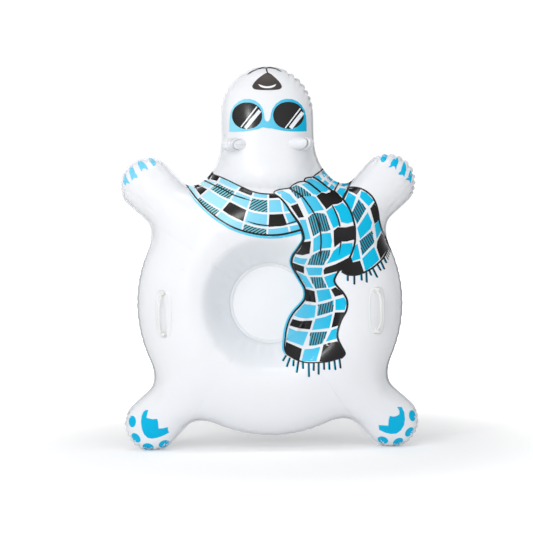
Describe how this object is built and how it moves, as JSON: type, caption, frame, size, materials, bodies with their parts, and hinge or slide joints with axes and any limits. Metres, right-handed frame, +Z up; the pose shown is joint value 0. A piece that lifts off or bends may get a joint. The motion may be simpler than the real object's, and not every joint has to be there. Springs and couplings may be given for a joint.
{
  "type": "inflatable snow tube",
  "caption": "Inflatable polar bear snow tube: round welded PVC ring with a recessed seat, four paws, a head with ears, printed scarf, side handles and air valves.",
  "frame": {"origin": "on the floor midway between the two hind paws, in the weld plane between the front and back sheets", "axes": "+Z up from the paws to the head, -Y towards the printed rider side that faces the viewer, +X to the viewer's right"},
  "size_m": [1.1202, 0.3238, 1.4502],
  "materials": {
    "white_pvc": "glossy white PVC sheet with printed graphics",
    "seat_pvc": "satin white PVC sheet",
    "milky_pvc": "soft translucent milky PVC",
    "valve_pvc": "soft clear to milky PVC"
  },
  "bodies": {
    "tube": {"body_front_sheet": "white_pvc", "body_back_sheet": "white_pvc", "seat_floor": "seat_pvc", "head_front_sheet": "white_pvc", "head_back_sheet": "white_pvc", "neck_bulkhead": "white_pvc", "left_ear_upper_sheet": "white_pvc", "left_ear_lower_sheet": "white_pvc", "right_ear_upper_sheet": "white_pvc", "right_ear_lower_sheet": "white_pvc", "left_handle_patch": "milky_pvc", "left_handle_bottom_socket": "milky_pvc", "left_handle_top_socket": "milky_pvc", "right_handle_patch": "milky_pvc", "right_handle_bottom_socket": "milky_pvc", "right_handle_top_socket": "milky_pvc", "body_valve_flange": "valve_pvc", "head_valve_flange": "valve_pvc"},
    "left_grip": {"left_handle_grip": "milky_pvc"},
    "right_grip": {"right_handle_grip": "milky_pvc"},
    "body_stem": {"body_valve_stem": "valve_pvc"},
    "body_cap": {"body_valve_plug": "valve_pvc", "body_valve_tether": "valve_pvc"},
    "body_flap": {"body_valve_flap": "valve_pvc"},
    "head_stem": {"head_valve_stem": "valve_pvc"},
    "head_cap": {"head_valve_plug": "valve_pvc", "head_valve_tether": "valve_pvc"},
    "head_flap": {"head_valve_flap": "valve_pvc"}
  },
  "joints": [
    {"name": "left_grip_swing", "type": "hinge", "parent": "tube", "child": "left_grip", "pos_m": [-0.40205, -0.12595, 0.52629], "axis": [0, 0, 1], "range_deg": [-75, 75]},
    {"name": "right_grip_swing", "type": "hinge", "parent": "tube", "child": "right_grip", "pos_m": [0.40205, -0.12595, 0.52629], "axis": [0, 0, 1], "range_deg": [-75, 75]},
    {"name": "body_stem_pull", "type": "slide", "parent": "tube", "child": "body_stem", "axis": [0, 1, 0], "range_m": [0, 0.01]},
    {"name": "body_cap_open", "type": "hinge", "parent": "body_stem", "child": "body_cap", "pos_m": [0.2586, 0.14275, 0.40729], "axis": [0, 0, 1], "range_deg": [0, 150]},
    {"name": "body_flap_open", "type": "hinge", "parent": "body_stem", "child": "body_flap", "pos_m": [0.2661, 0.11595, 0.40729], "axis": [0, 0, 1], "range_deg": [-50, 0]},
    {"name": "head_stem_pull", "type": "slide", "parent": "tube", "child": "head_stem", "axis": [0, 1, 0], "range_m": [0, 0.01]},
    {"name": "head_cap_open", "type": "hinge", "parent": "head_stem", "child": "head_cap", "pos_m": [-0.016, 0.14308, 1.19329], "axis": [0, 0, 1], "range_deg": [0, 150]},
    {"name": "head_flap_open", "type": "hinge", "parent": "head_stem", "child": "head_flap", "pos_m": [-0.0085, 0.11628, 1.19329], "axis": [0, 0, 1], "range_deg": [-50, 0]}
  ]
}
